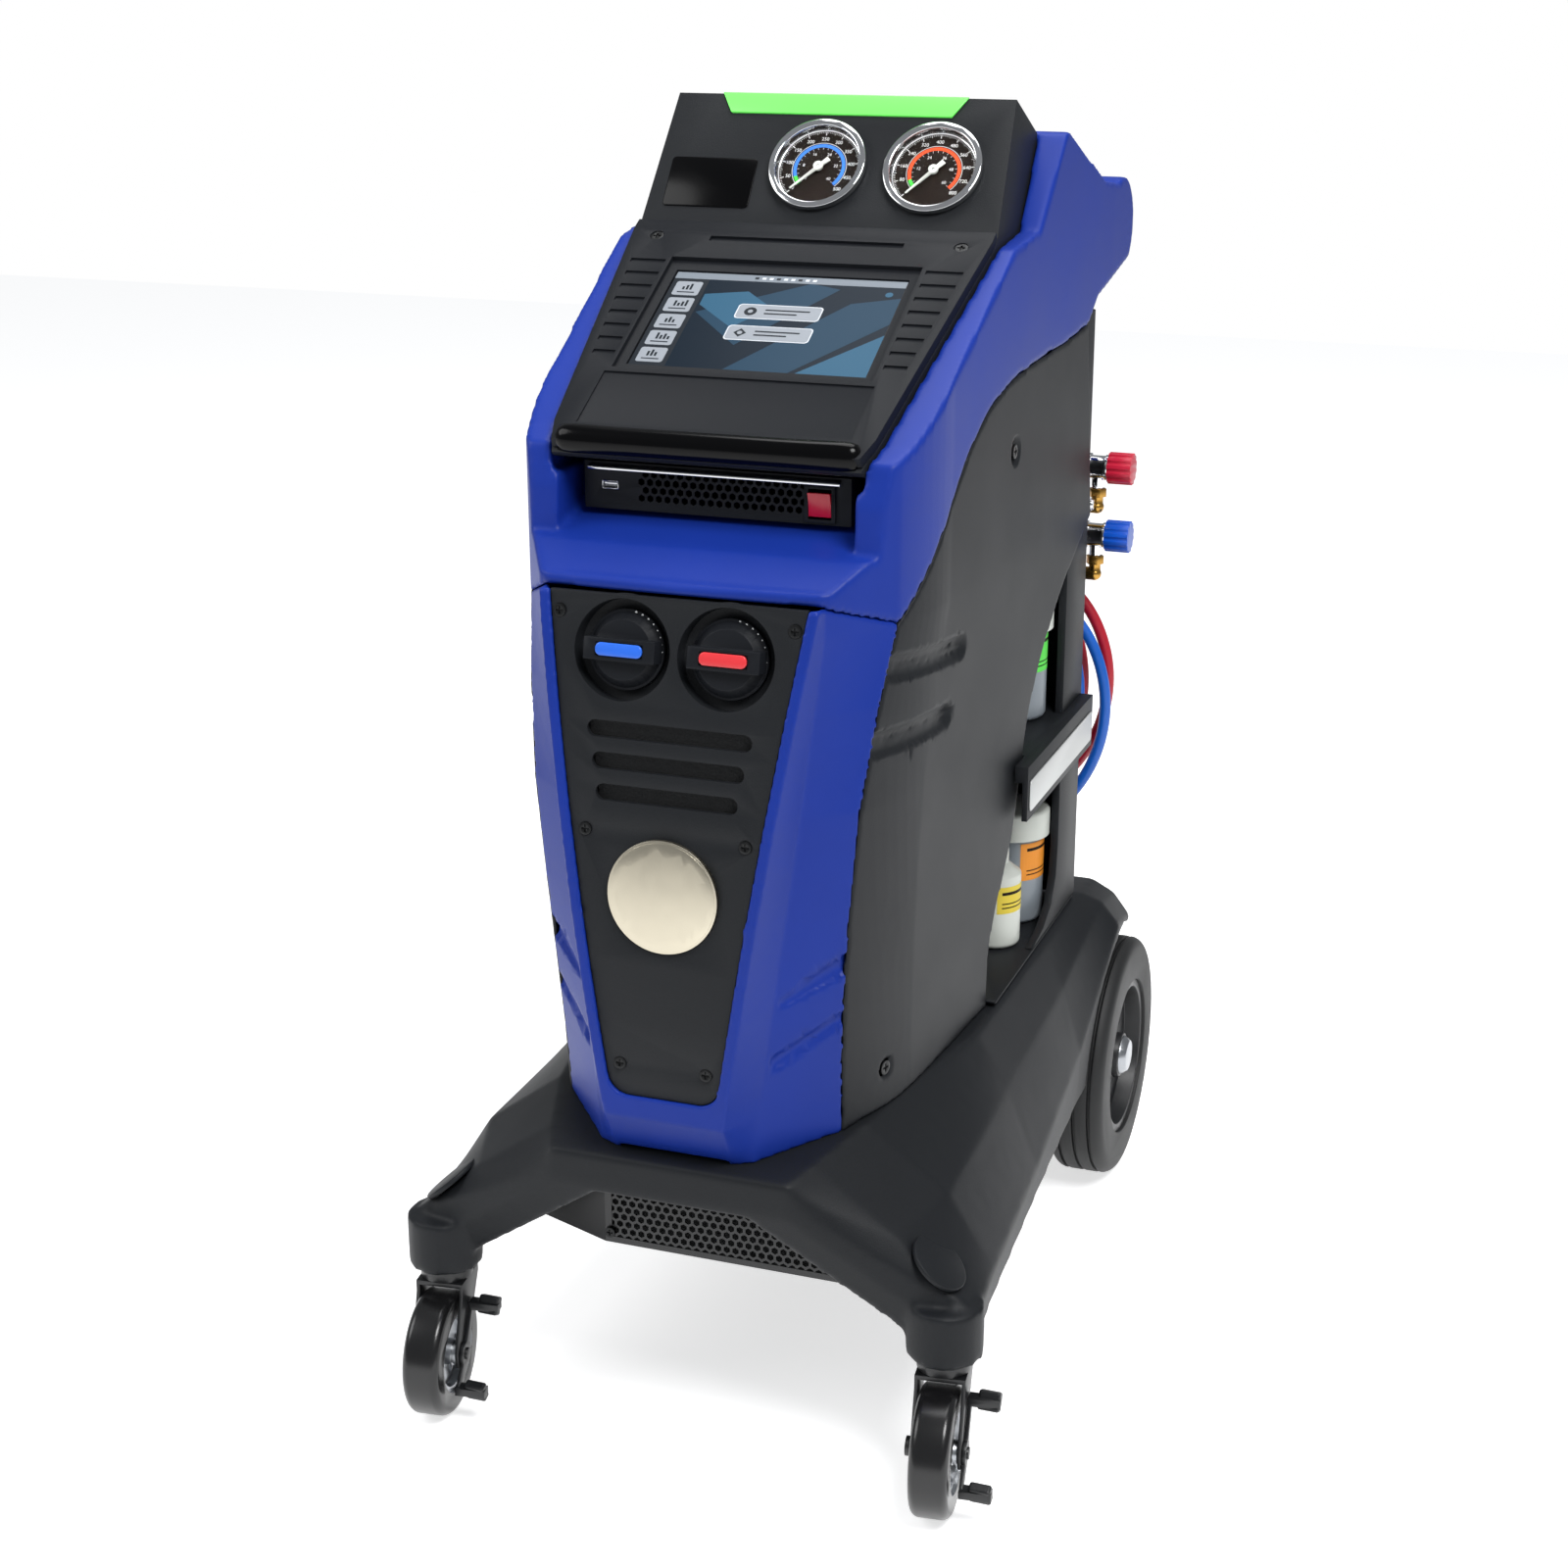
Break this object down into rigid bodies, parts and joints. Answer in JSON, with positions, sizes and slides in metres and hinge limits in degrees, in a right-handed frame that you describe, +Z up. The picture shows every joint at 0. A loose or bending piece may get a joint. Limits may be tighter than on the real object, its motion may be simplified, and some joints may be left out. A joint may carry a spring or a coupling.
{
  "type": "refrigerant recovery and recharge station",
  "caption": "Wheeled workshop air conditioning recharge station: tilted touch screen, gauges, valve knobs, side bays with bottles, hoses, casters and rear wheels.",
  "frame": {"origin": "centre of the bounding box on the floor", "axes": "+X to the right side of the machine seen by its user, +Y to the back where the handle and hoses are, +Z up"},
  "size_m": [0.5234, 0.82, 1.0675],
  "materials": {
    "black_plastic": "textured",
    "blue_plastic": "textured",
    "black_metal": "satin",
    "steel": "satin",
    "chrome": "polished",
    "brass": "satin",
    "clear_cover": "clear",
    "green_lamp": "glossy",
    "white_plastic": "satin",
    "grey_plastic": "satin",
    "blue_accent": "glossy",
    "red_accent": "glossy",
    "blue_hose": "satin",
    "red_hose": "satin",
    "rubber": "matte",
    "rim_plastic": "satin",
    "foam": "matte",
    "tank_paint": "satin"
  },
  "bodies": {
    "station": {"base_grille": "black_metal", "base_molding": "black_plastic", "bay_liner": "black_plastic", "blank_plates": "grey_plastic", "caster_heads": "black_metal", "compressor": "tank_paint", "coupler_dock": "black_metal", "coupler_elbows": "brass", "display_bezel": "black_plastic", "display_hood": "black_plastic", "display_screen": "clear_cover", "emblem_disc": "chrome", "front_panel": "black_plastic", "gauge_cases": "steel", "gauge_lenses": "clear_cover", "high_side_hose": "red_hose", "hose_bulkheads": "steel", "leg_plugs": "black_plastic", "low_side_hose": "blue_hose", "lower_fascia": "blue_plastic", "power_switch_frame": "black_plastic", "printer_housing": "black_plastic", "printer_tear_bar": "chrome", "rear_axle": "steel", "rear_frame": "black_plastic", "recovery_tank": "tank_paint", "scale_platform": "steel", "screws": "steel", "service_couplers": "chrome", "service_ports": "chrome", "shelves": "black_plastic", "side_panel_left": "black_plastic", "side_panel_right": "black_plastic", "status_lamp": "green_lamp", "upper_cowl": "blue_plastic", "usb_socket": "white_plastic", "vacuum_pump": "tank_paint", "vent_screens": "foam"},
    "low_gauge_needle": {"gauge_low_needle": "white_plastic"},
    "high_gauge_needle": {"gauge_high_needle": "white_plastic"},
    "low_valve": {"valve_low_knob": "black_plastic", "valve_low_insert": "blue_accent"},
    "high_valve": {"valve_high_knob": "black_plastic", "valve_high_insert": "red_accent"},
    "power_rocker": {"power_switch_rocker": "red_accent"},
    "low_coupler_knob": {"coupler_low_knob": "blue_accent"},
    "high_coupler_knob": {"coupler_high_knob": "red_accent"},
    "new_oil_bottle": {"oil_bottle": "grey_plastic"},
    "old_oil_bottle": {"used_oil_bottle": "grey_plastic"},
    "tracer_bottle": {"dye_bottle": "white_plastic"},
    "caster_swivel_right": {"caster_fork_right": "black_metal"},
    "caster_roller_right": {"caster_wheel_right": "rubber"},
    "caster_brake_right": {"brake_lever_right": "black_metal"},
    "rear_wheel_right": {"rear_tyre_right": "rubber", "rear_rim_right": "rim_plastic"},
    "caster_swivel_left": {"caster_fork_left": "black_metal"},
    "caster_roller_left": {"caster_wheel_left": "rubber"},
    "caster_brake_left": {"brake_lever_left": "black_metal"},
    "rear_wheel_left": {"rear_tyre_left": "rubber", "rear_rim_left": "rim_plastic"}
  },
  "joints": [
    {"name": "low_gauge_reading", "type": "hinge", "parent": "station", "child": "low_gauge_needle", "pos_m": [-0.01971, 0.01109, 1.01095], "axis": [0, -0.8094, 0.5872], "range_deg": [-270, 0]},
    {"name": "low_valve_turn", "type": "hinge", "parent": "station", "child": "low_valve", "pos_m": [-0.05271, -0.34158, 0.682], "axis": [0, -0.9788, 0.205], "range_deg": [-90, 0]},
    {"name": "high_gauge_reading", "type": "hinge", "parent": "station", "child": "high_gauge_needle", "pos_m": [0.08029, 0.01109, 1.01095], "axis": [0, -0.8094, 0.5872], "range_deg": [-270, 0]},
    {"name": "high_valve_turn", "type": "hinge", "parent": "station", "child": "high_valve", "pos_m": [0.03129, -0.34158, 0.682], "axis": [0, -0.9788, 0.205], "range_deg": [-90, 0]},
    {"name": "power_switch", "type": "hinge", "parent": "station", "child": "power_rocker", "pos_m": [0.07429, -0.24697, 0.785], "axis": [1, 0, 0], "range_deg": [-14, 0]},
    {"name": "low_coupler_turn", "type": "hinge", "parent": "station", "child": "low_coupler_knob", "pos_m": [0.18929, 0.29003, 0.653], "axis": [1, 0, 0], "range_deg": [-180, 180]},
    {"name": "high_coupler_turn", "type": "hinge", "parent": "station", "child": "high_coupler_knob", "pos_m": [0.18929, 0.29003, 0.718], "axis": [1, 0, 0], "range_deg": [-180, 180]},
    {"name": "rear_axle_right", "type": "hinge", "parent": "station", "child": "rear_wheel_right", "pos_m": [0.19029, 0.29003, 0.12], "axis": [1, 0, 0], "continuous": true},
    {"name": "caster_stem_right", "type": "hinge", "parent": "station", "child": "caster_swivel_right", "pos_m": [0.20929, -0.33197, 0.12], "axis": [0, 0, 1], "continuous": true},
    {"name": "caster_axle_right", "type": "hinge", "parent": "caster_swivel_right", "child": "caster_roller_right", "pos_m": [0.21221, -0.35579, 0.0535], "axis": [0.9925, 0.1219, 0], "continuous": true},
    {"name": "caster_lock_right", "type": "hinge", "parent": "caster_swivel_right", "child": "caster_brake_right", "pos_m": [0.21221, -0.35579, 0.0535], "axis": [0.9925, 0.1219, 0], "range_deg": [-14, 0]},
    {"name": "rear_axle_left", "type": "hinge", "parent": "station", "child": "rear_wheel_left", "pos_m": [-0.21171, 0.29003, 0.12], "axis": [1, 0, 0], "continuous": true},
    {"name": "caster_stem_left", "type": "hinge", "parent": "station", "child": "caster_swivel_left", "pos_m": [-0.23071, -0.33197, 0.12], "axis": [0, 0, 1], "continuous": true},
    {"name": "caster_axle_left", "type": "hinge", "parent": "caster_swivel_left", "child": "caster_roller_left", "pos_m": [-0.22779, -0.35579, 0.0535], "axis": [0.9925, 0.1219, 0], "continuous": true},
    {"name": "caster_lock_left", "type": "hinge", "parent": "caster_swivel_left", "child": "caster_brake_left", "pos_m": [-0.22779, -0.35579, 0.0535], "axis": [0.9925, 0.1219, 0], "range_deg": [-14, 0]},
    {"name": "new_oil_lift", "type": "slide", "parent": "station", "child": "new_oil_bottle", "axis": [0, 0, 1], "range_m": [0, 0.1]},
    {"name": "old_oil_lift", "type": "slide", "parent": "station", "child": "old_oil_bottle", "axis": [0, 0, 1], "range_m": [0, 0.05]},
    {"name": "tracer_lift", "type": "slide", "parent": "station", "child": "tracer_bottle", "axis": [0, 0, 1], "range_m": [0, 0.03]}
  ]
}
